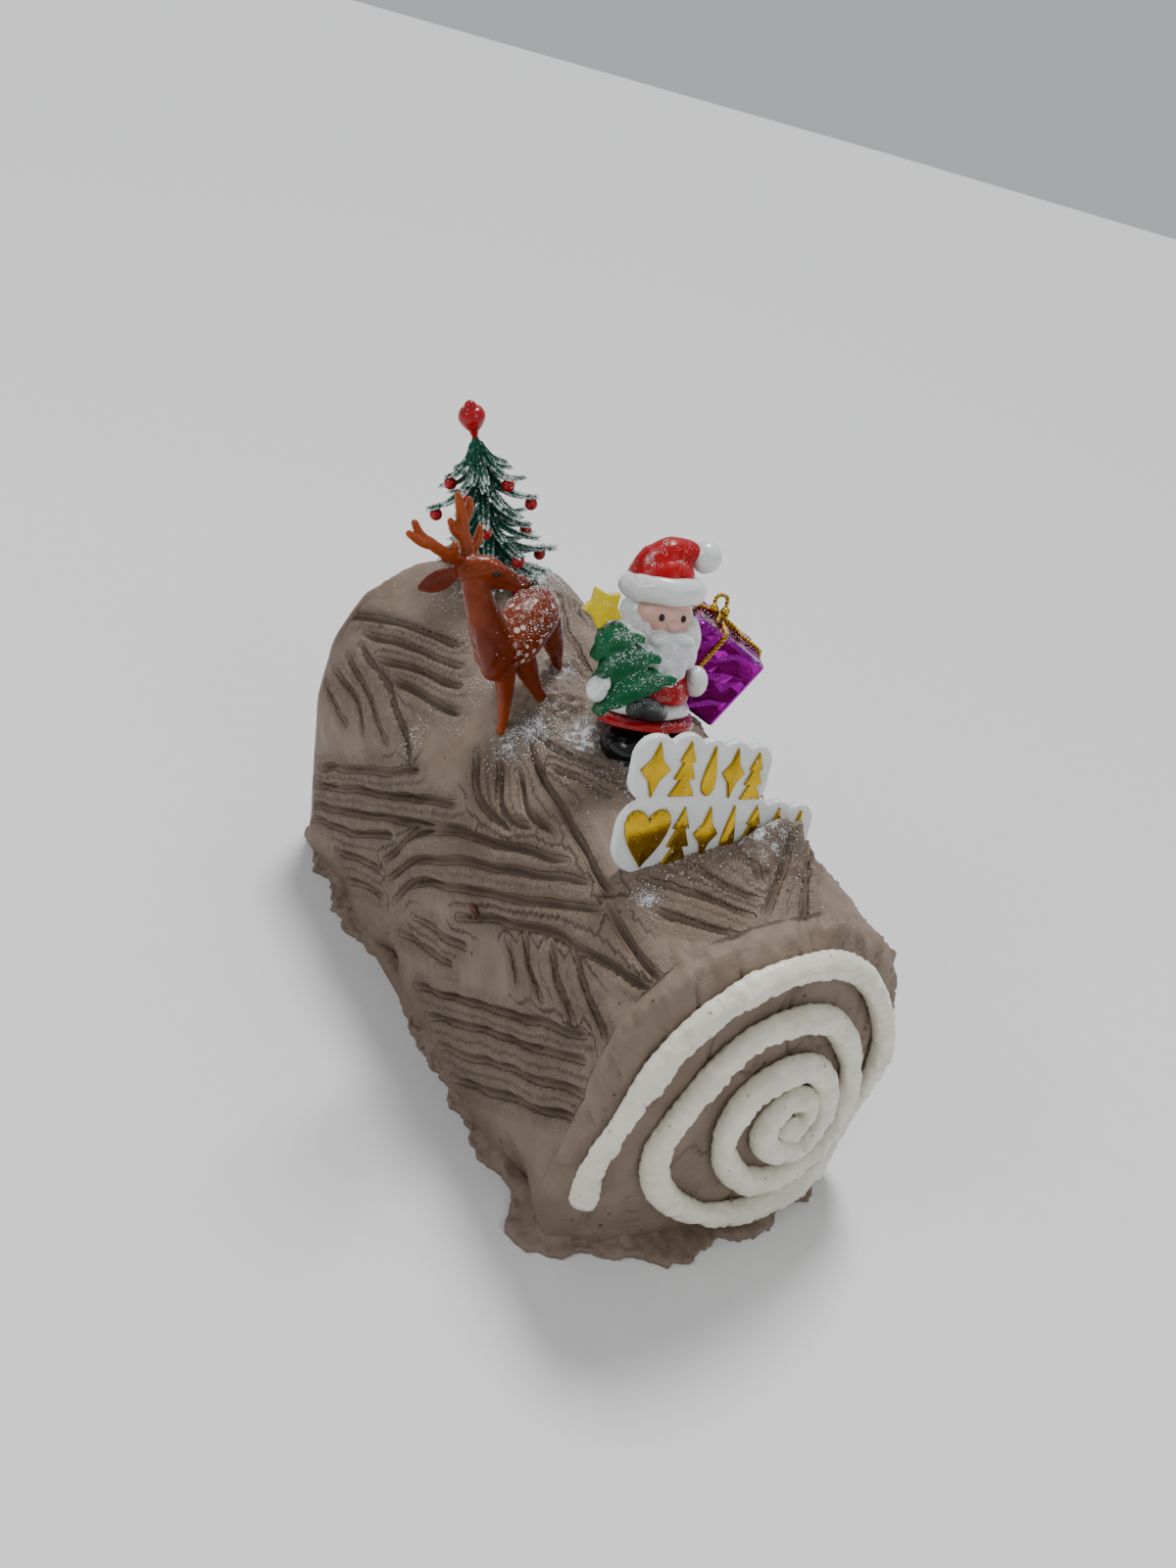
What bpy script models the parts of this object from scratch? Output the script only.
"""Yule log cake: a cream-covered log with a piped spiral at each end and plastic toppers.

Lengths in this file are millimetres, and MM turns them into Blender's metres.
The log lies along Y with its front end facing -Y, and rests on Z = 0.
"""

import math
import random

import bmesh
import bpy
import numpy as np
from mathutils import Euler, Matrix, Vector, noise
from mathutils.bvhtree import BVHTree

MM = 0.001
GAP = 0.35
SEED = 24

# The log: its ends, feet and heights at the front and the back
FRONT_Y, BACK_Y = -95.0, 98.5
LEFT_FRONT, LEFT_BACK = -54.0, -53.0
RIGHT_FRONT, RIGHT_BACK = 50.0, 56.0
HEIGHT_FRONT, HEIGHT_BACK = 95.0, 109.0
FRONT_LEAN = 0.06
FRONT_RIM, BACK_RIM = 6.0, 4.0
SHOULDER = 0.46
LEFT_POWER, RIGHT_POWER = 2.75, 2.2
LEFT_TUCK, RIGHT_TUCK = 0.035, 0.12
CELLS_X, CELLS_Y, CELLS_Z = 50, 88, 34
LOG_TRIANGLES = 5050

# The end faces: how far they dome, and the front's lower bulge
FACE_CENTRE_X, FACE_CENTRE_Z = -2.0, 46.0
FACE_HALF_WIDTH, FACE_HALF_HEIGHT = 52.0, 50.0
FRONT_DOME, BACK_DOME, FRONT_BULGE = 6.0, 3.0, 3.5

# The ends' low corners are rounded in plan: where the rounding starts, how wide and high it is
CORNER_START, CORNER_REACH, CORNER_HEIGHT = 28.0, 24.0, 55.0
FRONT_CORNER, BACK_CORNER = 10.0, 7.0

# The fork grooves in the cream
GROOVE_DEPTH, GROOVE_WIDTH = 2.6, 1.55
LIP_HEIGHT, LIP_PLACE, LIP_WIDTH = 0.7, 2.7, 0.9
GROOVE_FADE = 7.0
COMB_JITTER = 1.2

# The thin foot of cream that spreads round the base
SKIRT_HEIGHT, SKIRT_MEAN, SKIRT_SWING, SKIRT_FRONT = 3.2, 5.4, 2.2, 4.0

# Each comb is its first groove, its last groove and its number of grooves.
# A groove's points are its place along the log and its distance round it from the crown.
COMBS = (
    (((96, -53), (78, -43), (50, -30)), ((58, -53), (45, -49), (26, -43)), 4),
    (((82, -55), (55, -55), (30, -62)), ((92, -75), (82, -76), (72, -77)), 4),
    (((88, -104), (44, -76), (25, -62)), ((89, -112), (36, -79), (3, -58)), 2),
    (((90, -121), (41, -91), (-8, -59)), ((88, -125), (54, -107), (30, -90)), 2),
    (((32, -102), (18, -81), (-2, -64), (-40, -42)), ((22, -109), (8, -90), (-17, -72), (-59, -42)), 3),
    (((-17, -82), (-47, -59), (-82, -43)), ((-17, -82), (-47, -59), (-82, -43)), 1),
    (((64, -122), (48, -113), (31, -105)), ((55, -127), (42, -119), (29, -112)), 2),
    (((10, -44), (-3, -51), (-19, -49)), ((-5, -38), (-18, -42), (-30, -41)), 3),
    (((8, -30), (-15, -34), (-55, -38)), ((8, -30), (-15, -34), (-55, -38)), 1),
    (((8, -30), (-7, -25), (-28, -13)), ((-10, -30), (-16, -27), (-28, -21)), 2),
    (((-56, -29), (-64, -23), (-78, -10)), ((-65, -33), (-74, -25), (-83, -17)), 2),
    (((-58, -17), (-67, -12), (-74, -5)), ((-60, -5), (-64, -2), (-70, -2)), 2),
    (((-58, 11), (-68, 5), (-78, -6)), ((-60, 19), (-70, 14), (-82, 4)), 2),
    (((-38, -70), (-44, -73), (-49, -77)), ((-59, -53), (-68, -57), (-82, -61)), 4),
    (((0, -124), (-30, -101), (-76, -66)), ((-32, -131), (-60, -109), (-90, -82)), 4),
    (((9, -104), (-8, -95), (-24, -86)), ((14, -115), (-3, -106), (-20, -96)), 2),
    (((-58, -40), (-67, -41), (-82, -40)), ((-58, -40), (-67, -41), (-82, -40)), 1),
    (((71, 14), (46, 5), (24, 0)), ((72, 22), (66, 20), (58, 18)), 2),
    (((90, 42), (62, 50), (38, 62)), ((84, 66), (58, 76), (34, 84)), 4),
    (((30, 50), (0, 56), (-34, 52)), ((32, 68), (2, 78), (-30, 74)), 4),
    (((84, 124), (52, 108), (24, 94)), ((66, 104), (44, 94), (20, 82)), 3),
    (((-44, 34), (-62, 44), (-82, 48)), ((-42, 56), (-60, 64), (-82, 70)), 4),
    (((12, 124), (-22, 106), (-56, 84)), ((-12, 128), (-44, 116), (-82, 92)), 4),
)

# Cream pushed up round what is stuck in it: along, round, height and reach both ways
MOUNDS = (
    (-65, 8, 6.0, 7, 13),
    (-60, -12, 1.5, 7, 12),
    (-22, -4, 3.0, 9, 13),
    (9, -36, 2.5, 7, 7),
    (12, -18, 4.0, 9, 8),
    (30, -8, 2.5, 9, 8),
    (10, 26, 2.5, 10, 9),
    (80, 6, 2.5, 9, 11),
)

# Hollows under the overhang at the left foot: along the log, depth and reach
FOOT_HOLLOWS = ((22, 6.0, 9), (-69, 5.0, 8), (62, 2.5, 7))

# The piped spirals: the x and z of the strand's middle, from its outer end to the centre
STRAND_RADIUS = 4.2
STRAND_PROUD = 2.2
STRAND_REST_REACH, STRAND_GAP = 2.2, 0.5
SPIRAL_KNOTS = (
    (-48, 19), (-50.5, 38), (-47, 59), (-37, 77), (-22, 87), (-4, 90), (11, 87), (24, 77.5), (37, 59),
    (44, 38), (43, 19), (34, 10.5), (19, 8), (2, 8), (-16, 13.5), (-31, 27), (-36, 44), (-29, 61), (-19, 72),
    (-5, 75.5), (10, 71.5), (23.5, 56), (30, 38), (28.5, 23), (19, 17.5), (4, 18.5), (-8, 26), (-16, 40),
    (-13.5, 54), (-3, 59.5), (9, 57), (18, 46), (20, 34), (14.5, 28), (4, 31), (-3, 39), (1, 45.5), (9, 44),
)
SPIRAL_POINTS = 84
FRONT_SPIRAL_SIZE, BACK_SPIRAL_SIZE = 1.0, 0.86
FRONT_SPIRAL_TRIANGLES, BACK_SPIRAL_TRIANGLES = 800, 560

# The figure: its foot, how it leans and which way it looks
FIGURE_FOOT = (-2.3, -12.6, 95.3)
FIGURE_LEAN_X, FIGURE_LEAN_Y = -18.0, -1.5
FIGURE_YAW = -14.0

# The plaque: its middle, turn, thickness and depth in the cream
PLAQUE_FOOT = (-2.0, -56.0, 97.0)
PLAQUE_TURN = (-10.0, 0.0, -8.0)
PLAQUE_THICKNESS, RELIEF_THICKNESS = 2.6, 0.9
LOBE_MARGIN = 2.1
PLAQUE_TRIANGLES = 940

# The gift box, by the low corner that is sunk in the cream
GIFT_EDGE = 25.6
GIFT_CORNER = (38.5, 5.0, 93.0)
GIFT_RIGHT, GIFT_BACK = (0.765, -0.486, -0.422), (0.503, 0.861, -0.080)
CORD_RADIUS = 0.8
KNOT_SHIFT = -4.0

# The fir tree: its foot, the top of its trunk and its tiers
FIR_FOOT, FIR_TOP = (2.0, 84.0, 99.0), (-19.5, 84.0, 155.0)
FIR_BALL_RADIUS = 4.2
FIR_TIERS = ((1.00, 9.2, 12.5, 7), (0.86, 13.4, 15.5, 8), (0.65, 13.6, 16.5, 9), (0.44, 15.6, 17.0, 10))
BAUBLE_RADIUS = 2.1


def remove_all_objects():
    """Empty the scene."""
    for old in list(bpy.data.objects):
        bpy.data.objects.remove(old, do_unlink=True)


def new_collection(name):
    """A collection in the scene."""
    collection = bpy.data.collections.new(name)
    bpy.context.scene.collection.children.link(collection)
    return collection


remove_all_objects()
CAKE = new_collection("yule_log_cake")
CUTTERS = new_collection("cutters")


def material(name, colour, roughness, metallic=0.0):
    """A Principled material of one colour."""
    made = bpy.data.materials.new(name)
    made.use_nodes = True
    shader = made.node_tree.nodes["Principled BSDF"]
    shader.inputs["Base Color"].default_value = (*colour, 1.0)
    shader.inputs["Roughness"].default_value = roughness
    shader.inputs["Metallic"].default_value = metallic
    made.diffuse_color = (*colour, 1.0)
    return made


COCOA = material("cocoa_cream", (0.26, 0.165, 0.11), 0.6)
CREAM = material("white_cream", (0.80, 0.78, 0.68), 0.45)
WHITE = material("white_plastic", (0.80, 0.82, 0.80), 0.3)
RED = material("red_plastic", (0.50, 0.01, 0.02), 0.3)
BLACK = material("black_plastic", (0.01, 0.01, 0.014), 0.25)
SKIN = material("skin_plastic", (0.80, 0.50, 0.40), 0.4)
GREEN = material("green_plastic", (0.0, 0.16, 0.06), 0.35)
YELLOW = material("yellow_plastic", (0.80, 0.66, 0.0), 0.3)
GREY = material("grey_plastic", (0.06, 0.07, 0.06), 0.4)
FIR_GREEN = material("fir_plastic", (0.0, 0.12, 0.06), 0.4)
FAWN = material("fawn_plastic", (0.40, 0.06, 0.01), 0.35)
FOIL = material("purple_foil", (0.35, 0.0, 0.33), 0.15, 1.0)
GOLD = material("gold_cord", (0.60, 0.38, 0.04), 0.3, 1.0)


def object_of(name, mesh, finish, collection=CAKE):
    """An object in a collection, with its material and smooth shading."""
    made = bpy.data.objects.new(name, mesh)
    collection.objects.link(made)
    mesh.materials.clear()
    mesh.materials.append(finish)
    mesh.shade_smooth()
    mesh.set_sharp_from_angle(angle=math.radians(40))
    return made


def mesh_from(bm, name="shape"):
    """A mesh from a finished bmesh."""
    mesh = bpy.data.meshes.new(name)
    bm.to_mesh(mesh)
    bm.free()
    return mesh


def baked(thing):
    """Replace an object by its evaluated mesh, with loose caps welded."""
    bpy.context.view_layer.update()
    depsgraph = bpy.context.evaluated_depsgraph_get()
    mesh = bpy.data.meshes.new_from_object(thing.evaluated_get(depsgraph))
    bm = bmesh.new()
    bm.from_mesh(mesh)
    bmesh.ops.remove_doubles(bm, verts=bm.verts, dist=0.00001)
    bm.to_mesh(mesh)
    bm.free()
    name, finish = thing.name, thing.material_slots[0].material
    matrix, parent = thing.matrix_basis.copy(), thing.parent
    bpy.data.objects.remove(thing, do_unlink=True)
    made = object_of(name, mesh, finish)
    made.matrix_basis, made.parent = matrix, parent
    return made


def ball(centre, radii, turn=(0, 0, 0), segments=14, rings=8):
    """A loose ellipsoid, to be dressed or fused."""
    bm = bmesh.new()
    bmesh.ops.create_uvsphere(bm, u_segments=segments, v_segments=rings, radius=1.0)
    size = Matrix.Diagonal((*(radius * MM for radius in radii), 1.0))
    place = Matrix.Translation(Vector(centre) * MM)
    spin = Euler([math.radians(angle) for angle in turn]).to_matrix().to_4x4()
    bmesh.ops.transform(bm, matrix=place @ spin @ size, verts=bm.verts)
    return mesh_from(bm)


def block(centre, size, turn=(0, 0, 0)):
    """A loose box."""
    bm = bmesh.new()
    bmesh.ops.create_cube(bm, size=1.0)
    scale = Matrix.Diagonal((*(side * MM for side in size), 1.0))
    place = Matrix.Translation(Vector(centre) * MM)
    spin = Euler([math.radians(angle) for angle in turn]).to_matrix().to_4x4()
    bmesh.ops.transform(bm, matrix=place @ spin @ scale, verts=bm.verts)
    return mesh_from(bm)


def post(foot, top, foot_radius, top_radius, sides=12):
    """A loose cone or cylinder between two points."""
    foot, top = Vector(foot) * MM, Vector(top) * MM
    bm = bmesh.new()
    bmesh.ops.create_cone(
        bm, cap_ends=True, segments=sides, radius1=foot_radius * MM, radius2=top_radius * MM,
        depth=(top - foot).length,
    )
    turn = Vector((0, 0, 1)).rotation_difference(top - foot).to_matrix().to_4x4()
    bmesh.ops.transform(bm, matrix=Matrix.Translation((foot + top) / 2) @ turn, verts=bm.verts)
    return mesh_from(bm)


def tube(points, radii, resolution=2, cyclic=False):
    """A loose tapered tube along a smooth path, closed at its ends."""
    curve = bpy.data.curves.new("tube", "CURVE")
    curve.dimensions = "3D"
    curve.bevel_depth = MM
    curve.bevel_resolution = resolution
    curve.use_fill_caps = not cyclic
    spline = curve.splines.new("POLY")
    spline.points.add(len(points) - 1)
    spline.use_cyclic_u = cyclic
    for knot, point, radius in zip(spline.points, points, radii):
        knot.co = (*(value * MM for value in point), 1.0)
        knot.radius = radius
    holder = bpy.data.objects.new("tube", curve)
    CAKE.objects.link(holder)
    bpy.context.view_layer.update()
    depsgraph = bpy.context.evaluated_depsgraph_get()
    mesh = bpy.data.meshes.new_from_object(holder.evaluated_get(depsgraph))
    bpy.data.objects.remove(holder, do_unlink=True)
    bm = bmesh.new()
    bm.from_mesh(mesh)
    bmesh.ops.remove_doubles(bm, verts=bm.verts, dist=0.00001)
    bmesh.ops.recalc_face_normals(bm, faces=bm.faces)
    bm.to_mesh(mesh)
    bm.free()
    return mesh


def smooth_path(knots, steps):
    """Points on a smooth curve through the knots, each knot being a tuple of numbers."""
    knots = np.array(knots, float)
    padded = np.vstack((2 * knots[0] - knots[1], knots, 2 * knots[-1] - knots[-2]))
    points = []
    for share in np.linspace(0, len(knots) - 1, steps):
        first = min(int(share), len(knots) - 2)
        t = share - first
        a, b, c, d = padded[first:first + 4]
        curve = 2 * b + (c - a) * t + (2 * a - 5 * b + 4 * c - d) * t ** 2 + (3 * b - a - 3 * c + d) * t ** 3
        points.append(curve / 2)
    return np.array(points)


def limb(knots, steps=9):
    """A tapered tube through knots of x, y, z and radius."""
    path = smooth_path(knots, steps)
    return tube([row[:3] for row in path], [row[3] for row in path])


def joined(meshes, name, finish):
    """One object that holds several loose meshes."""
    bm = bmesh.new()
    for mesh in meshes:
        bm.from_mesh(mesh)
        bpy.data.meshes.remove(mesh)
    return object_of(name, mesh_from(bm), finish)


def thin_out(thing, triangles):
    """Bring a piece down to about so many triangles."""
    count = sum(len(face.vertices) - 2 for face in thing.data.polygons)
    fewer = thing.modifiers.new("Fewer", "DECIMATE")
    fewer.ratio = min(1.0, triangles / count)
    fewer.use_collapse_triangulate = True
    return baked(thing)


def fused(meshes, name, finish, voxel, triangles):
    """Loose meshes moulded into one piece of about so many triangles."""
    thing = joined(meshes, name, finish)
    moulded = thing.modifiers.new("Mould", "REMESH")
    moulded.mode = "VOXEL"
    moulded.voxel_size = voxel * MM
    return thin_out(baked(thing), triangles)


def cut(thing, cutter):
    """Cut a piece by a cutter object."""
    boolean = thing.modifiers.new("Cut", "BOOLEAN")
    boolean.operation = "DIFFERENCE"
    boolean.object = cutter
    boolean.solver = "EXACT"
    return baked(thing)


def as_cutter(mesh, name):
    """A cutter, drawn as wire and left out of the cake."""
    cutter = object_of(name, mesh, GREY, CUTTERS)
    cutter.hide_render = True
    cutter.display_type = "WIRE"
    return cutter


def swollen_copy(thing, name):
    """A cutter that is a piece grown by the gap."""
    mesh = thing.data.copy()
    bm = bmesh.new()
    bm.from_mesh(mesh)
    for vertex, normal in [(vertex, vertex.normal.copy()) for vertex in bm.verts]:
        vertex.co += normal * GAP * MM
    bm.to_mesh(mesh)
    bm.free()
    cutter = as_cutter(mesh, name)
    cutter.matrix_basis, cutter.parent = thing.matrix_basis.copy(), thing.parent
    return cutter


def without_scraps(thing):
    """Keep only the largest of the bodies that a cut has left."""
    bm = bmesh.new()
    bm.from_mesh(thing.data)
    unseen, bodies = set(bm.verts), []
    while unseen:
        body, edge = set(), [unseen.pop()]
        while edge:
            vertex = edge.pop()
            body.add(vertex)
            near = {link.other_vert(vertex) for link in vertex.link_edges} & unseen
            unseen -= near
            edge.extend(near)
        bodies.append(body)
    scraps = set(bm.verts) - max(bodies, key=len)
    bmesh.ops.delete(bm, geom=list(scraps), context="VERTS")
    bm.to_mesh(thing.data)
    bm.free()
    return thing


def make_room(thing, *neighbours):
    """Cut a piece back by the gap from the pieces it sits against."""
    for neighbour in neighbours:
        thing = cut(thing, swollen_copy(neighbour, f"room_in_{thing.name}_for_{neighbour.name}"))
    return without_scraps(thing)


def outline_table(samples=400):
    """The log's cross-section, one unit half-wide and one unit high, from left foot to right foot."""
    low = np.linspace(0, SHOULDER, samples, endpoint=False)
    left = np.column_stack((-1 + LEFT_TUCK * (1 - low / SHOULDER) ** 1.5, low))
    turn = np.linspace(0, math.pi, 2 * samples)
    power = np.where(turn < math.pi / 2, LEFT_POWER, RIGHT_POWER)
    across = -np.sign(np.cos(turn)) * np.abs(np.cos(turn)) ** (2 / power)
    up = SHOULDER + (1 - SHOULDER) * np.abs(np.sin(turn)) ** (2 / power)
    low = low[::-1]
    right = np.column_stack((1 - RIGHT_TUCK * (1 - low / SHOULDER) ** 1.5, low))
    return np.vstack((left, np.column_stack((across, up)), right))


OUTLINE = outline_table()
MEAN_SIZE = np.array(((RIGHT_BACK - LEFT_FRONT) / 2 - 3, (HEIGHT_FRONT + HEIGHT_BACK) / 2))
ROUND = np.concatenate(((0,), np.cumsum(np.linalg.norm(np.diff(OUTLINE * MEAN_SIZE, axis=0), axis=1))))
CROWN = float(np.interp(0.0, OUTLINE[400:1200, 0], ROUND[400:1200]))


def log_sizes(y):
    """The left side, right side and height of the log at a place along it."""
    share = (y - FRONT_Y) / (BACK_Y - FRONT_Y)
    left = LEFT_FRONT + (LEFT_BACK - LEFT_FRONT) * share
    right = RIGHT_FRONT + (RIGHT_BACK - RIGHT_FRONT) * np.clip(1.3 * share, 0, 1)
    return left, right, HEIGHT_FRONT + (HEIGHT_BACK - HEIGHT_FRONT) * share


def wall_point(y, around):
    """The x and z of the log's smooth wall, at a distance round it from the crown."""
    left, right, height = log_sizes(y)
    x = np.interp(around + CROWN, ROUND, OUTLINE[:, 0])
    z = np.interp(around + CROWN, ROUND, OUTLINE[:, 1])
    return (left + right) / 2 + (right - left) / 2 * x, height * z


def face_fall(x, z):
    """How far round from its middle a place on an end face is, as a share squared."""
    across, up = (x - FACE_CENTRE_X) / FACE_HALF_WIDTH, (z - FACE_CENTRE_Z) / FACE_HALF_HEIGHT
    return np.clip(across ** 2 + up ** 2, 0, 1.15)


def corner_cut(x, z):
    """How much of an end's corner rounding falls at a place on its face, from none to one."""
    beside = np.clip((np.abs(x - FACE_CENTRE_X) - CORNER_START) / CORNER_REACH, 0, 1.2)
    return beside ** 2 * np.clip(1 - z / CORNER_HEIGHT, 0, 1)


def front_face(x, z):
    """The y of the front end's surface."""
    bulge = np.clip(1 - z / 45, 0, 1) * np.clip(1 - ((x - 10) / 45) ** 2, 0, 1)
    domed = FRONT_Y + FRONT_LEAN * z - FRONT_DOME * (1 - face_fall(x, z)) - FRONT_BULGE * bulge
    return domed + FRONT_CORNER * corner_cut(x, z)


def back_face(x, z):
    """The y of the back end's surface."""
    return BACK_Y + BACK_DOME * (1 - face_fall(x, z)) - BACK_CORNER * corner_cut(x, z)


def comb_grooves():
    """Every groove as a smooth row of points, the teeth of a comb spread between its outer two."""
    draw = random.Random(SEED)
    grooves = []
    for first, last, teeth in COMBS:
        for tooth in range(teeth):
            share = tooth / max(teeth - 1, 1)
            knots = np.array(first) * (1 - share) + np.array(last) * share
            if 0 < share < 1:
                knots = knots + [[draw.uniform(-COMB_JITTER, COMB_JITTER) for _ in range(2)] for _ in knots]
            grooves.append(smooth_path(knots, 14))
    return grooves


def groove_relief(y, around):
    """Height of the forked cream over the smooth wall: below zero in a groove, above it on a lip."""
    relief = np.zeros_like(y)
    places = np.column_stack((y, around))
    for groove in comb_grooves():
        nearest = np.full(len(y), 1e9)
        inside = np.zeros(len(y))
        travelled = 0.0
        length = np.linalg.norm(np.diff(groove, axis=0), axis=1).sum()
        for start, end in zip(groove[:-1], groove[1:]):
            along = end - start
            span = np.linalg.norm(along)
            share = np.clip((places - start) @ along / span ** 2, 0, 1)
            distance = np.linalg.norm(places - start - share[:, None] * along, axis=1)
            closer = distance < nearest
            nearest[closer] = distance[closer]
            from_end = np.minimum(travelled + share * span, length - travelled - share * span)
            inside[closer] = np.clip(0.25 + from_end[closer] / GROOVE_FADE, 0, 1)
            travelled += span
        dip = -GROOVE_DEPTH * np.exp(-(nearest / GROOVE_WIDTH) ** 2)
        lip = LIP_HEIGHT * np.exp(-((nearest - LIP_PLACE) / LIP_WIDTH) ** 2)
        raised = relief + 0.5 * lip * inside * (relief > -0.5)
        relief = np.where(dip * inside < relief, dip * inside, raised)
    return relief


def mound_relief(y, around):
    """Height of the cream pushed up round the toppers."""
    relief = np.zeros_like(y)
    for place_y, place_around, height, reach_y, reach_around in MOUNDS:
        away = ((y - place_y) / reach_y) ** 2 + ((around - place_around) / reach_around) ** 2
        relief += height * np.exp(-away)
    return relief


def waviness(x, y, z, scale, seed):
    """Smooth seeded noise between about minus one and one, for arrays of places."""
    shift = Vector((seed, 2 * seed, 3 * seed))
    points = zip(x, y, z)
    return np.array([noise.noise(Vector(point) / scale + shift) for point in points]) * 2


def log_grid():
    """A box of even cells, one unit wide each way, that becomes the log."""
    bm = bmesh.new()
    bmesh.ops.create_cube(bm, size=1.0)
    for axis, cells in enumerate((CELLS_X, CELLS_Y, CELLS_Z)):
        edges = [edge for edge in bm.edges if abs(edge.verts[0].co[axis] - edge.verts[1].co[axis]) > 0.5]
        bmesh.ops.subdivide_edges(bm, edges=edges, cuts=cells - 1, use_grid_fill=True)
    return bm


def shaped_log(grid):
    """Places for the box's points: the log's body, its domed ends, its rim and its foot."""
    across, along, up = grid[:, 0] * 2, grid[:, 1] * 2, grid[:, 2] + 0.5
    middle_up = 0.5
    out = np.maximum(np.abs(across), np.abs(up - middle_up) / middle_up)
    safe = np.maximum(out, 1e-6)
    edge_across, edge_up = across / safe, middle_up + (up - middle_up) / safe
    on_left = edge_across <= -1 + 1e-6
    on_right = edge_across >= 1 - 1e-6
    total = CELLS_X + 2 * CELLS_Z
    steps = np.where(on_left, edge_up * CELLS_Z, CELLS_Z + (edge_across + 1) / 2 * CELLS_X)
    steps = np.where(on_right, total - edge_up * CELLS_Z, steps)
    around = steps / total * ROUND[-1] - CROWN
    y = FRONT_Y + (along + 1) / 2 * (BACK_Y - FRONT_Y)
    wall_x, wall_z = wall_point(y, around)
    on_floor = (edge_up <= 1e-6) & ~on_left & ~on_right
    left, right, height = log_sizes(y)
    foot_left = (left + right) / 2 - (right - left) / 2 * (1 - LEFT_TUCK)
    foot_right = (left + right) / 2 + (right - left) / 2 * (1 - RIGHT_TUCK)
    wall_x = np.where(on_floor, foot_left + (foot_right - foot_left) * (edge_across + 1) / 2, wall_x)
    wall_z = np.where(on_floor, 0.0, wall_z)
    core_x, core_z = (left + right) / 2, SHOULDER * height
    x = core_x + out * (wall_x - core_x)
    z = core_z + out * (wall_z - core_z)
    return x, y, z, around, out, along, on_floor


def rounded_rim(x, y, z, out, along):
    """Carry the ends out to their domes, and round the rim between wall and end."""
    left, right, height = log_sizes(y)
    core_x, core_z = (left + right) / 2, SHOULDER * height
    reach = np.hypot(x - core_x, z - core_z)
    shares = (along + 1) / 2
    front, back = front_face(x, z), back_face(x, z)
    new_y = front + shares * (back - front)
    for end, sign, radius in ((front, 1, FRONT_RIM), (back, -1, BACK_RIM)):
        deep = np.abs(new_y - end)
        walk = np.where(deep > 0.01, deep, -(1 - out) * reach / np.maximum(out, 0.05))
        near = np.abs(walk) < radius
        bend = (walk / radius + 1) * math.pi / 4
        inset = radius * (1 - np.sin(bend))
        depth = radius * (1 - np.cos(bend))
        aim = np.where(near, (reach / np.maximum(out, 0.05) - inset) / np.maximum(reach, 1e-6), 1.0)
        lifted = z > 3
        x = np.where(near, core_x + (x - core_x) * aim, x)
        z = np.where(near & lifted, core_z + (z - core_z) * aim, z)
        new_y = np.where(near, end + sign * depth, new_y)
    return x, new_y, z


def make_log():
    """The cream-covered log, with its grooves, mounds and foot."""
    bm = log_grid()
    grid = np.array([vertex.co[:] for vertex in bm.verts])
    x, y, z, around, out, along, on_floor = shaped_log(grid)
    x, y, z = rounded_rim(x, y, z, out, along)
    for vertex, place in zip(bm.verts, np.column_stack((x, y, z))):
        vertex.co = place
    bmesh.ops.recalc_face_normals(bm, faces=bm.faces)
    bm.normal_update()
    normals = np.array([vertex.normal[:] for vertex in bm.verts])
    on_wall = (out > 0.999) & ~on_floor & (z > 1)
    lumps = 0.9 * waviness(x, y, z, 26, 3) + 0.35 * waviness(x, y, z, 9, 5)
    relief = np.where(on_wall, groove_relief(y, around) + mound_relief(y, around), 0) + np.where(z > 1, lumps, 0)
    end_room = np.clip((y - front_face(x, z)) / 5, 0, 1)
    relief = np.where(on_wall, relief * end_room, 0)
    for place_y, depth, reach in FOOT_HOLLOWS:
        low_left = (around < -60) & (z < 16)
        relief -= np.where(low_left, depth * np.exp(-((y - place_y) / reach) ** 2) * (1 - z / 16), 0)
    moved = np.column_stack((x, y, z)) + normals * relief[:, None]
    x, y, z = moved.T
    flat = np.column_stack((x, y))
    outward = flat / np.maximum(np.linalg.norm(flat / (52, 96), axis=1, keepdims=True), 1e-6) / (52, 96)
    outward /= np.maximum(np.linalg.norm(outward, axis=1, keepdims=True), 1e-6)
    spread = SKIRT_MEAN + SKIRT_SWING * waviness(x, y, 0 * z, 11, 9) + SKIRT_FRONT * np.clip(-y - 88, 0, 8) / 8
    low = np.clip(1 - z / SKIRT_HEIGHT, 0, 1) ** 0.7
    rim_only = np.clip((np.maximum(np.abs(x) / 48, np.abs(y) / 92) - 0.9) / 0.08, 0, 1)
    x, y = (flat + outward * (spread * low * rim_only)[:, None]).T
    z = np.where(z < 0.4, 0.0, z)
    for vertex, place in zip(bm.verts, np.column_stack((x, y, z)) * MM):
        vertex.co = place
    return thin_out(object_of("cake_log", mesh_from(bm), COCOA), LOG_TRIANGLES)


def resting_y(log_tree, x, z, side):
    """How far out the log's end reaches round a place on it, with the gap on top."""
    reach = STRAND_REST_REACH
    found = []
    for step_x, step_z in ((0, 0), (reach, 0), (-reach, 0), (0, reach), (0, -reach)):
        start = Vector((x + step_x, side * 200, max(z + step_z, 0.5))) * MM
        hit = log_tree.ray_cast(start, Vector((0, -side, 0)))[0]
        if hit is not None:
            found.append(hit.y / MM + side * STRAND_GAP)
    return min(found) if side < 0 else max(found)


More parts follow.
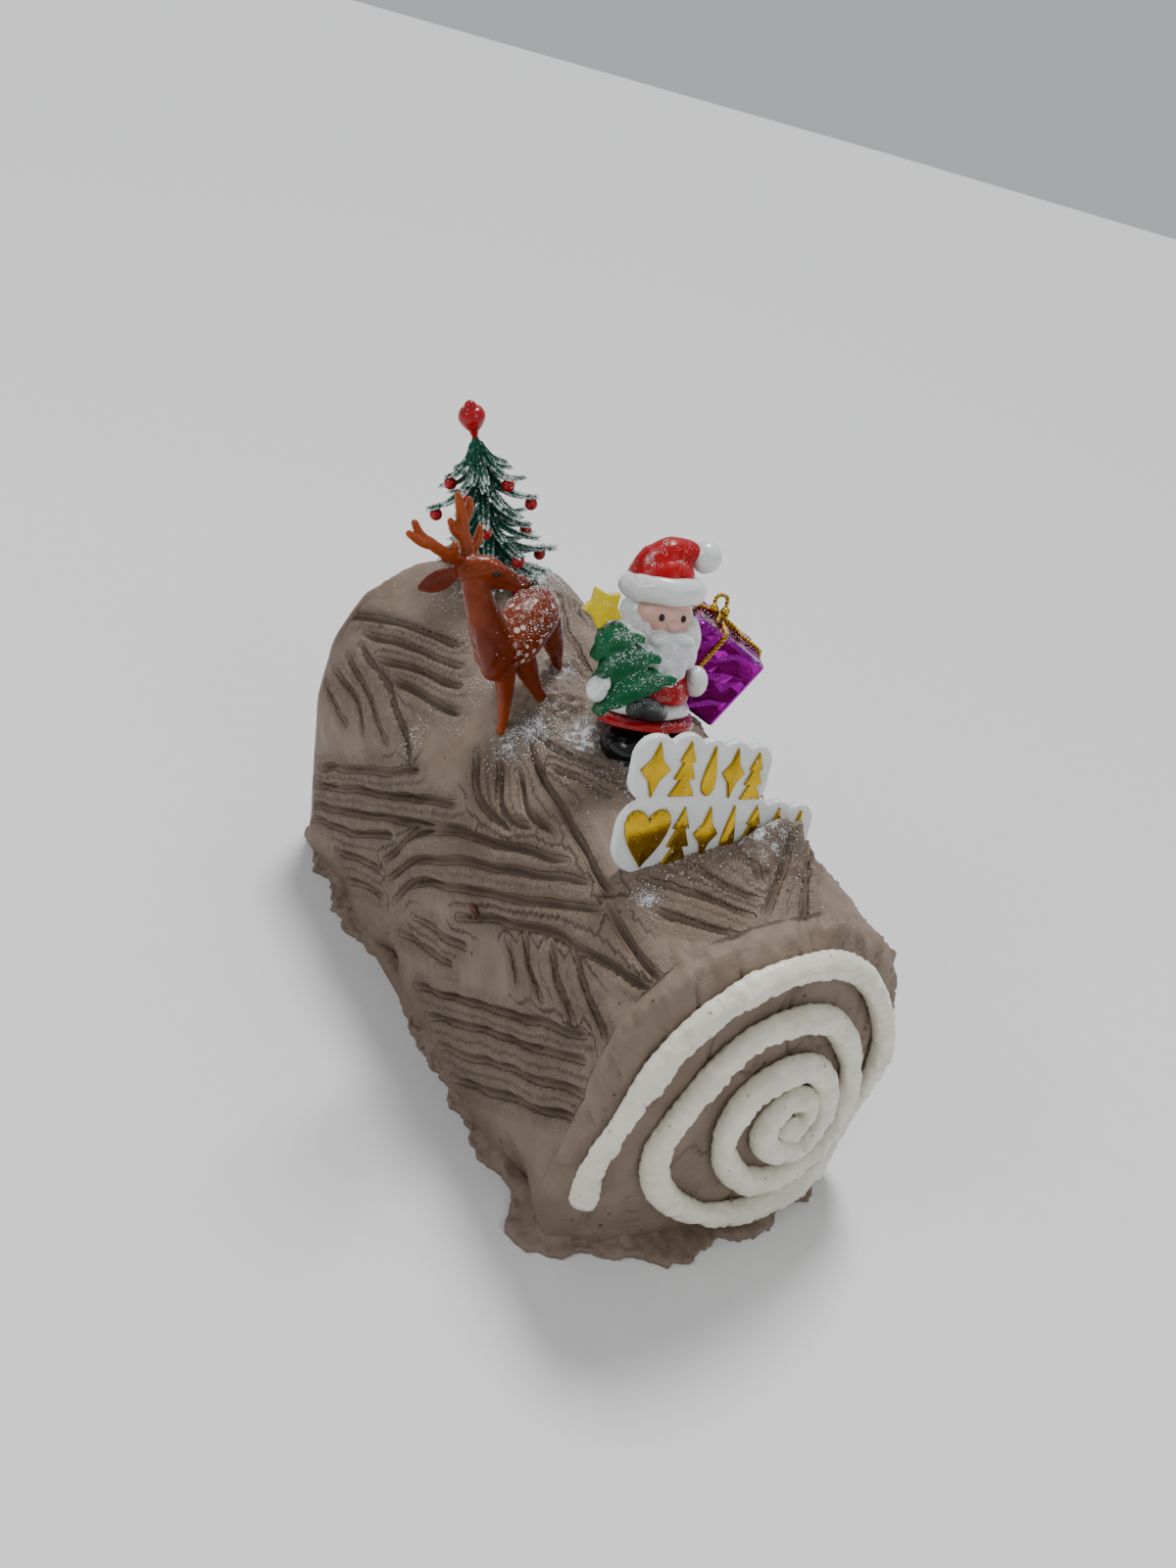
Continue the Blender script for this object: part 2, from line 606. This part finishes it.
def make_spiral(name, surface, side, size, triangles, log_tree):
    """A piped spiral that lies on an end face, its back flat against the cream."""
    middle = np.array((FACE_CENTRE_X, FACE_CENTRE_Z))
    rows = middle + (smooth_path(SPIRAL_KNOTS, SPIRAL_POINTS) - middle) * size
    points = [(x, surface(x, z) + side * STRAND_PROUD, z) for x, z in rows]
    widths = STRAND_RADIUS * (1 + 0.07 * np.sin(np.arange(SPIRAL_POINTS) * 1.7))
    strand = thin_out(object_of(name, tube(points, widths, resolution=1), CREAM), triangles)
    for vertex in strand.data.vertices:
        x, y, z = vertex.co / MM
        rest = resting_y(log_tree, x, z, side)
        y = min(y, rest) if side < 0 else max(y, rest)
        vertex.co = Vector((x, y, z)) * MM


def make_deer():
    """The moulded deer: body, four legs, a turned head, ears and forked antlers."""
    parts = [
        limb(((-44, 11, 121, 5.0), (-37, 14, 122, 8.4), (-30, 18, 125.5, 9.0), (-24.5, 22.5, 126.5, 7.6),
              (-21.5, 25, 125.5, 4.8))),
        limb(((-40.5, 12.5, 122, 7.6), (-46, 12.5, 129, 6.4), (-50, 13, 136, 5.0), (-51, 14.5, 141, 4.8))),
        limb(((-53, 15.5, 142.3, 4.6), (-47.5, 13.8, 142.6, 4.2), (-42, 11.8, 142.0, 2.9),
              (-38.4, 10.6, 141.8, 2.1))),
        limb(((-40, 10.5, 119, 4.8), (-37.5, 10, 110, 3.0), (-36, 10, 101, 2.0), (-35.2, 10, 95, 1.9),
              (-35.2, 10, 90, 1.9))),
        limb(((-32, 13, 117, 4.6), (-27, 12.5, 109.5, 2.9), (-22.2, 12, 103, 1.9), (-20.6, 12, 99, 1.8),
              (-20.6, 12, 94, 1.9))),
        limb(((-20.5, 24, 124, 5.6), (-14.5, 25.5, 115, 3.8), (-10, 27, 107, 2.0), (-8.6, 26.5, 101, 1.8),
              (-8.6, 26.5, 95, 1.9))),
        limb(((-23, 27, 121, 5.2), (-24.5, 30, 113, 3.4), (-23, 33, 105, 1.9), (-22.5, 32, 101, 1.8),
              (-22.5, 32, 96, 1.9))),
        limb(((-53, 17, 142, 1.6), (-57.5, 17, 140.4, 3.1), (-62, 17.5, 137.6, 2.4), (-65.5, 18, 135.4, 1.0))),
        limb(((-49, 19.5, 143.5, 1.4), (-46.5, 25, 143.5, 2.4), (-44, 29, 142.5, 1.0))),
        limb(((-19, 28, 126.5, 2.0), (-16.5, 30.5, 123, 1.6), (-16, 31, 119.5, 0.9)), 5),
        limb(((-55, 16, 144.5, 1.7), (-59.5, 14, 147, 1.5), (-65.5, 12, 150.5, 1.4), (-70.5, 11, 154, 1.1),
              (-72.5, 11, 157, 0.9))),
        limb(((-65.5, 12, 150.5, 1.2), (-70.5, 10, 152.5, 1.1), (-74.5, 9, 155, 0.9)), 5),
        limb(((-59.5, 14, 147, 1.2), (-60, 12, 150, 1.1), (-61.5, 10, 152, 0.9)), 5),
        limb(((-52.5, 17.5, 145, 1.8), (-54.5, 18, 150, 1.7), (-56, 18, 154.5, 1.5), (-57.5, 18, 159, 1.2),
              (-58.6, 18, 161.5, 0.9))),
        limb(((-54.5, 18, 150, 1.3), (-58, 17.5, 152.5, 1.2), (-59.8, 17, 155, 0.9)), 5),
        limb(((-55.5, 18, 153.5, 1.2), (-54.0, 19, 157.5, 1.1), (-54.6, 19, 160, 0.9)), 5),
        limb(((-51.5, 18, 147, 1.3), (-49.8, 19, 150, 1.2), (-49.8, 19.5, 152.5, 0.9)), 5),
    ]
    return fused(parts, "deer", FAWN, 0.75, 1100)


def empty(name, place, turn):
    """An empty that carries the pieces of a topper."""
    holder = bpy.data.objects.new(name, None)
    CAKE.objects.link(holder)
    holder.location = Vector(place) * MM
    holder.rotation_euler = [math.radians(angle) for angle in turn]
    return holder


def ringed(name, profile, finish, sides=20):
    """A turned piece from a profile of radius and height, run down its outer side."""
    bm = bmesh.new()
    points = [bm.verts.new((radius * MM, 0, height * MM)) for radius, height in profile]
    for first, second in zip(points[:-1], points[1:]):
        bm.edges.new((first, second))
    thing = object_of(name, mesh_from(bm), finish)
    spin = thing.modifiers.new("Turn", "SCREW")
    spin.steps = spin.render_steps = sides
    spin.use_merge_vertices = True
    spin.merge_threshold = 0.00005
    return baked(thing)


def round_profile(radius, bottom, top, soft):
    """A drum's profile with soft edges."""
    return ((0, top), (radius - soft, top), (radius - 0.3 * soft, top - 0.3 * soft), (radius, top - soft),
            (radius, bottom + soft), (radius - 0.3 * soft, bottom + 0.3 * soft), (radius - soft, bottom), (0, bottom))


def make_figure():
    """The little winter figure: boots, round base, coat, head, cap, mittens and a small tree."""
    carrier = empty("figure_carrier", FIGURE_FOOT, (FIGURE_LEAN_X, FIGURE_LEAN_Y, FIGURE_YAW))
    boots = fused(
        [ball((-5.2, -2, 6), (8.0, 10.5, 7.0)), ball((5.2, -2, 6), (8.0, 10.5, 7.0)),
         ball((0, 1.5, 8), (11.0, 9.5, 5.5))], "figure_boots", BLACK, 1.0, 200)
    boots = cut(boots, as_cutter(block((0, 0, 32), (60, 60, 40)), "boots_top"))
    disc = ringed("figure_base", round_profile(13.6, 12.35, 15.2, 1.4), RED, 16)
    trim = ringed("figure_trim", round_profile(11.9, 15.55, 19.9, 2.1), WHITE, 14)
    coat = ringed("figure_coat", ((0, 32.8), (5, 32.6), (8.0, 30.8), (9.8, 26.9), (10.9, 22.2), (11.0, 20.25),
                                  (0, 20.25)), RED, 14)
    face = fused([ball((0, -1.2, 42.2), (8.9, 8.8, 8.9)), ball((0, -10.2, 41.2), (1.9, 1.6, 1.6))],
                 "figure_face", SKIN, 0.8, 260)
    beard = fused(
        [ball((0, 1.6, 42.0), (10.7, 9.0, 9.3)), ball((0, -7.4, 35.4), (8.2, 4.8, 6.0)),
         ball((0, -8.6, 29.4), (5.6, 3.9, 5.8)), ball((-5.4, -7.8, 33.5), (3.9, 3.5, 4.8)),
         ball((5.4, -7.8, 33.5), (3.9, 3.5, 4.8)), ball((-3.1, -10.6, 38.0), (3.5, 2.2, 2.0), (0, -12, 12)),
         ball((3.1, -10.6, 38.0), (3.5, 2.2, 2.0), (0, 12, -12)), ball((-8.3, -3.2, 37.5), (3.1, 5.2, 6.4)),
         ball((8.3, -3.2, 37.5), (3.1, 5.2, 6.4))],
        "figure_beard", WHITE, 0.9, 520)
    brim = ringed("figure_brim", ((0, 54.0), (9.4, 54.0), (11.3, 52.4), (11.8, 50.2), (11.2, 48.0),
                                  (9.6, 46.9), (0, 46.9)), WHITE, 18)
    cap = fused([ball((-0.5, 0.5, 53.6), (9.2, 9.4, 6.8)), limb(((-2, 0, 55.4, 7.6), (2, -0.5, 58.6, 6.0),
                (6.0, -1.0, 60.2, 4.0), (8.6, -1.2, 60.2, 2.6)))], "figure_cap", RED, 0.9, 260)
    above_head = as_cutter(block((0, 0, 46.9 - GAP + 20), (60, 60, 40)), "above_head")
    face, beard = cut(face, above_head), cut(beard, above_head)
    cap = cut(cap, as_cutter(block((0, 0, 54 + GAP - 20), (60, 60, 40)), "below_cap"))
    pompom = object_of("figure_pompom", ball((11.2, -1.4, 59.6), (4.5, 4.5, 4.5), segments=12, rings=8), WHITE)
    mittens = [object_of("figure_mitten_left", ball((11.6, -5.6, 26.0), (3.6, 4.2, 4.8), segments=10, rings=7), WHITE),
               object_of("figure_mitten_right", ball((-22.5, -16.0, 24.5), (3.6, 3.6, 4.2), segments=10, rings=7),
                         WHITE)]
    sapling = make_sapling()
    star = make_star()
    pouch = object_of("figure_pouch", ball((-4.5, -11.0, 19.0), (6.0, 4.2, 3.2), (0, 18, 0), 10, 7), GREY)
    for piece in (boots, disc, trim, coat, face, beard, brim, cap, pompom, *mittens, sapling, star, pouch):
        piece.parent = carrier
    bpy.context.view_layer.update()
    beard = thin_out(make_room(beard, face, coat), 460)
    sapling = thin_out(make_room(sapling, coat, trim, disc, beard), 230)
    thin_out(make_room(pouch, disc, trim, coat, sapling), 90)
    thin_out(make_room(mittens[1], sapling, disc, coat), 100)
    thin_out(make_room(mittens[0], coat, beard), 110)
    thin_out(make_room(pompom, cap, brim), 120)
    thin_out(make_room(star, sapling, beard), 90)
    return boots


def flat_shape(points, thickness):
    """A flat outline in X and Z, extruded both ways along Y, as a closed loose mesh."""
    curve = bpy.data.curves.new("flat", "CURVE")
    curve.dimensions = "2D"
    curve.fill_mode = "BOTH"
    curve.extrude = thickness / 2 * MM
    spline = curve.splines.new("POLY")
    spline.points.add(len(points) - 1)
    for knot, (x, z) in zip(spline.points, points):
        knot.co = (x * MM, z * MM, 0, 1)
    spline.use_cyclic_u = True
    holder = bpy.data.objects.new("flat", curve)
    CAKE.objects.link(holder)
    bpy.context.view_layer.update()
    depsgraph = bpy.context.evaluated_depsgraph_get()
    mesh = bpy.data.meshes.new_from_object(holder.evaluated_get(depsgraph))
    bpy.data.objects.remove(holder, do_unlink=True)
    bm = bmesh.new()
    bm.from_mesh(mesh)
    bmesh.ops.remove_doubles(bm, verts=bm.verts, dist=0.00001)
    bmesh.ops.rotate(bm, verts=bm.verts, matrix=Matrix.Rotation(math.radians(90), 3, "X"))
    bmesh.ops.recalc_face_normals(bm, faces=bm.faces)
    bm.to_mesh(mesh)
    bm.free()
    return mesh


SAPLING_PLACE, SAPLING_TURN = (-15.4, -14.4, 32.6), (0, -27, -6)
SAPLING_TIERS = ((-11.0, 12.0), (-4.0, 9.8), (2.6, 7.4))
SAPLING_TOP, SAPLING_THICKNESS = 10.0, 7.2


def sapling_outline():
    """The small tree's outline: three drooping tiers and a blunt top."""
    half = [(2.6, SAPLING_TOP)]
    for height, reach in reversed(SAPLING_TIERS):
        half += [(reach * 0.55, height + 4.2), (reach, height + 1.6), (reach * 0.9, height - 0.4),
                 (reach * 0.5, height)]
    return half + [(-x, z) for x, z in reversed(half)]


def make_sapling():
    """The small green tree that the figure holds, thick and soft-edged."""
    mesh = flat_shape(sapling_outline(), SAPLING_THICKNESS)
    turn = Euler([math.radians(angle) for angle in SAPLING_TURN]).to_matrix().to_4x4()
    mesh.transform(Matrix.Translation(Vector(SAPLING_PLACE) * MM) @ turn)
    return fused([mesh], "figure_sapling", GREEN, 1.1, 240)


def star_outline(outer, inner, tips=5):
    """A star's outline with its first tip up."""
    points = []
    for index in range(2 * tips):
        radius = inner if index % 2 else outer
        angle = math.pi / 2 + index * math.pi / tips
        points.append((radius * math.cos(angle), radius * math.sin(angle)))
    return points


def make_star():
    """The yellow star on top of the small tree."""
    mesh = flat_shape(star_outline(4.3, 2.6), 4.4)
    turn = Euler([math.radians(angle) for angle in SAPLING_TURN]).to_matrix().to_4x4()
    lift = Matrix.Translation(Vector((0, 0, SAPLING_TOP + 4.6)) * MM)
    mesh.transform(Matrix.Translation(Vector(SAPLING_PLACE) * MM) @ turn @ lift)
    return fused([mesh], "figure_star", YELLOW, 0.7, 90)


# The plaque's ornaments: kind, place along the row, height, half-width and half-height
ORNAMENTS = (
    ("star", -29.0, 24.6, 3.8, 6.6), ("fir", -20.4, 24.8, 3.2, 6.6), ("drop", -13.2, 24.0, 2.6, 6.0),
    ("star", -6.4, 23.2, 3.0, 6.2), ("fir", 0.2, 22.4, 2.8, 5.8),
    ("heart", -28.0, 6.4, 5.8, 8.0), ("fir", -18.2, 6.6, 3.4, 7.2), ("star", -10.6, 6.8, 3.2, 6.8),
    ("drop", -3.6, 7.0, 2.6, 6.6), ("fir", 3.4, 7.0, 3.0, 6.4), ("star", 10.6, 6.4, 3.0, 6.2),
    ("drop", 17.8, 5.4, 2.8, 6.0),
)


def unit_outline(kind):
    """An ornament's outline in a square of half-width one."""
    if kind == "star":
        return [(math.sin(step * math.pi / 4) * (1 if step % 2 == 0 else 0.42),
                 math.cos(step * math.pi / 4) * (1 if step % 2 == 0 else 0.42)) for step in range(8)]
    if kind == "fir":
        half = [(0.0, 1.0), (0.62, 0.25), (0.30, 0.25), (0.84, -0.38), (0.34, -0.38), (1.0, -1.0)]
        return half + [(-x, z) for x, z in reversed(half[1:])]
    turn = [2 * math.pi * step / 10 for step in range(10)]
    if kind == "drop":
        return [(math.sin(t) * (0.55 - 0.45 * math.cos(t)), math.cos(t)) for t in turn]
    return [(math.sin(t) ** 3, (13 * math.cos(t) - 5 * math.cos(2 * t) - 2 * math.cos(3 * t) + 2) / 15) for t in turn]


def capsule(x, z, half_width, half_height, thickness):
    """A tall rounded backing, wide enough to frame an ornament."""
    width, height = half_width + LOBE_MARGIN, half_height + LOBE_MARGIN
    points = []
    for step in range(12):
        angle = 2 * math.pi * (step + 0.5) / 12
        points.append((x + width * math.cos(angle), z + (height - width) * (1 if math.sin(angle) > 0 else -1)
                       + width * math.sin(angle)))
    return flat_shape(points, thickness)


def make_plaque():
    """The two-row plaque: tall rounded backings that run together, with a raised ornament on each."""
    carrier = empty("plaque_carrier", PLAQUE_FOOT, PLAQUE_TURN)
    backs = [capsule(*ornament[1:], PLAQUE_THICKNESS) for ornament in ORNAMENTS]
    backs.append(block((-12, 0, 15.5), (32, PLAQUE_THICKNESS, 6)))
    raised = []
    for kind, x, z, half_width, half_height in ORNAMENTS:
        points = [(x + half_width * a, z + half_height * b) for a, b in unit_outline(kind)]
        mesh = flat_shape(points, 2 * RELIEF_THICKNESS)
        mesh.transform(Matrix.Translation((0, -PLAQUE_THICKNESS / 2 * MM, 0)))
        raised.append(mesh)
    plaque = object_of("plaque", backs[0], WHITE)
    union = bpy.data.collections.new("plaque_union")
    bpy.context.scene.collection.children.link(union)
    for mesh in backs[1:] + raised:
        object_of("plaque_shape", mesh, WHITE, union)
    boolean = plaque.modifiers.new("Union", "BOOLEAN")
    boolean.operation = "UNION"
    boolean.operand_type = "COLLECTION"
    boolean.collection = union
    boolean.solver = "EXACT"
    plaque = baked(plaque)
    for thing in list(union.objects):
        bpy.data.objects.remove(thing, do_unlink=True)
    bpy.data.collections.remove(union)
    plaque.parent = carrier
    return thin_out(plaque, PLAQUE_TRIANGLES), carrier


def make_gift():
    """The foil box with its crossed cord, knot, beads and hanging loop."""
    right, back = Vector(GIFT_RIGHT).normalized(), Vector(GIFT_BACK).normalized()
    up = right.cross(back).normalized()
    right = back.cross(up).normalized()
    turn = Matrix((right, back, up)).transposed()
    centre = Vector(GIFT_CORNER) + (-right + up + back) * GIFT_EDGE / 2
    carrier = empty("gift_carrier", centre, (0, 0, 0))
    carrier.rotation_euler = turn.to_euler()
    box = object_of("gift_box", block((0, 0, 0), (GIFT_EDGE,) * 3), FOIL)
    soft = box.modifiers.new("Soft", "BEVEL")
    soft.width = 1.4 * MM
    soft.segments = 2
    box = baked(box)
    box.parent = carrier
    half = GIFT_EDGE / 2 + CORD_RADIUS + 0.45
    corner = half - 1.4
    loop = [(-corner, half), (corner, half), (half, corner), (half, -corner), (corner, -half), (-corner, -half),
            (-half, -corner), (-half, corner)]
    loops = [tube([(x, 0, z) for x, z in loop], [CORD_RADIUS] * 8, 2, True),
             tube([(KNOT_SHIFT, y, z) for y, z in loop], [CORD_RADIUS] * 8, 2, True)]
    knot = [ball((0, 0, half + 0.6), (3.0, 2.2, 1.6)), ball((-1.6, -1.0, half + 3.4), (1.5, 1.5, 1.5)),
            ball((-5.2, -1.2, half + 2.0), (1.5, 1.5, 1.5)),
            limb(((-1, 0, half, 0.8), (-6.2, 0, half + 4.0, 0.7), (-5.2, 0, half + 7.0, 0.7),
                  (-2.4, 0, half + 5.2, 0.7), (0.4, 0, half + 0.8, 0.8)), 13),
            limb(((0, 0, half + 0.8, 0.8), (4.5, -1.5, half + 1.2, 0.8), (7.5, -2.5, half + 0.6, 0.6)), 6)]
    for mesh in knot:
        mesh.transform(Matrix.Translation((KNOT_SHIFT * MM, 0, 0)))
    cord = fused(loops + knot, "gift_cord", GOLD, 0.55, 520)
    cord.parent = carrier
    return box, cord, carrier


def fir_skirt(apex, axis, reach, drop, tips, turn):
    """One tier of drooping sprays: a cone whose hem runs out and in, hollow a little underneath."""
    bm = bmesh.new()
    bmesh.ops.create_cone(bm, cap_ends=True, cap_tris=True, segments=2 * tips, radius1=reach, radius2=0.9, depth=drop)
    for vertex in bm.verts:
        x, y, z = vertex.co
        if z < 0:
            spray = round((math.atan2(y, x) % (2 * math.pi)) / (math.pi / tips))
            away = math.hypot(x, y)
            inward = 1.0 if spray % 2 == 0 else 0.56
            lift = 0.0 if spray % 2 == 0 else 0.24
            vertex.co = (x * inward, y * inward, z + drop * lift) if away > 0.1 else (0, 0, z + drop * 0.35)
    place = Vector((0, 0, 1)).rotation_difference(axis).to_matrix().to_4x4() @ Matrix.Rotation(turn, 4, "Z")
    bmesh.ops.transform(bm, matrix=Matrix.Translation(apex - axis * drop / 2) @ place, verts=bm.verts)
    bmesh.ops.scale(bm, vec=(MM, MM, MM), verts=bm.verts)
    return mesh_from(bm)


def make_fir():
    """The frosted fir: a leaning trunk, tiers of drooping sprays with small balls, and a ball on top."""
    foot, top = Vector(FIR_FOOT), Vector(FIR_TOP)
    axis = (top - foot).normalized()
    side = axis.cross(Vector((0, 1, 0))).normalized()
    front = side.cross(axis).normalized()
    shapes = [post(foot - axis * 6, top, 2.4, 1.3, 8)]
    for tier, (height, reach, drop, tips) in enumerate(FIR_TIERS):
        apex = foot.lerp(top, height)
        turn = math.pi * tier / tips
        shapes.append(fir_skirt(apex, axis, reach, drop, tips, turn))
        for spray in range(0, tips, 2 if tier else tips + 1):
            angle = 2 * math.pi * spray / tips + turn
            out = side * math.cos(angle) + front * math.sin(angle)
            shapes.append(ball(apex - axis * (drop + 0.4) + out * (reach - 1.6), (BAUBLE_RADIUS,) * 3, segments=8,
                               rings=5))
    tree = fused(shapes, "fir_tree", FIR_GREEN, 0.8, 1020)
    crown = limb(((*(top + axis * 0.8), 1.6), (*(top + axis * 2.6), 3.0), (*(top + axis * 5.4), FIR_BALL_RADIUS),
                  (*(top + axis * 8.0), 3.6), (*(top + axis * 9.4), 1.4)), 7)
    fir_ball = object_of("fir_ball", crown, RED)
    return make_room(tree, fir_ball)


def box_pocket(carrier, centre, size, name):
    """A box-shaped pocket in a topper's own frame."""
    pocket = as_cutter(block(centre, size), name)
    pocket.parent = carrier
    return pocket


def build():
    """Make every piece, then open pockets in the cream for what is stuck in it."""
    log = make_log()
    log_tree = BVHTree.FromPolygons([vertex.co for vertex in log.data.vertices],
                                    [face.vertices for face in log.data.polygons])
    make_spiral("cream_spiral_front", front_face, -1, FRONT_SPIRAL_SIZE, FRONT_SPIRAL_TRIANGLES, log_tree)
    make_spiral("cream_spiral_back", back_face, 1, BACK_SPIRAL_SIZE, BACK_SPIRAL_TRIANGLES, log_tree)
    deer = make_deer()
    boots = make_figure()
    plaque, plaque_carrier = make_plaque()
    gift, cord, gift_carrier = make_gift()
    fir = make_fir()
    bpy.context.view_layer.update()
    hooves = swollen_copy(deer, "hoof_pockets")
    trunk = swollen_copy(fir, "trunk_pocket")
    deep = PLAQUE_THICKNESS + RELIEF_THICKNESS + 2 * GAP
    slot = box_pocket(plaque_carrier, (-6, -RELIEF_THICKNESS / 2, 10), (64, deep, 29), "plaque_slot")
    grown = GIFT_EDGE + 2 * (GAP + 2 * CORD_RADIUS + 0.5)
    bed = box_pocket(gift_carrier, (0, 0, 0), (grown, grown, grown), "gift_bed")
    boots = swollen_copy(boots, "boots_pocket")
    for cutter in (hooves, trunk, slot, bed, boots):
        log = cut(log, cutter)


build()
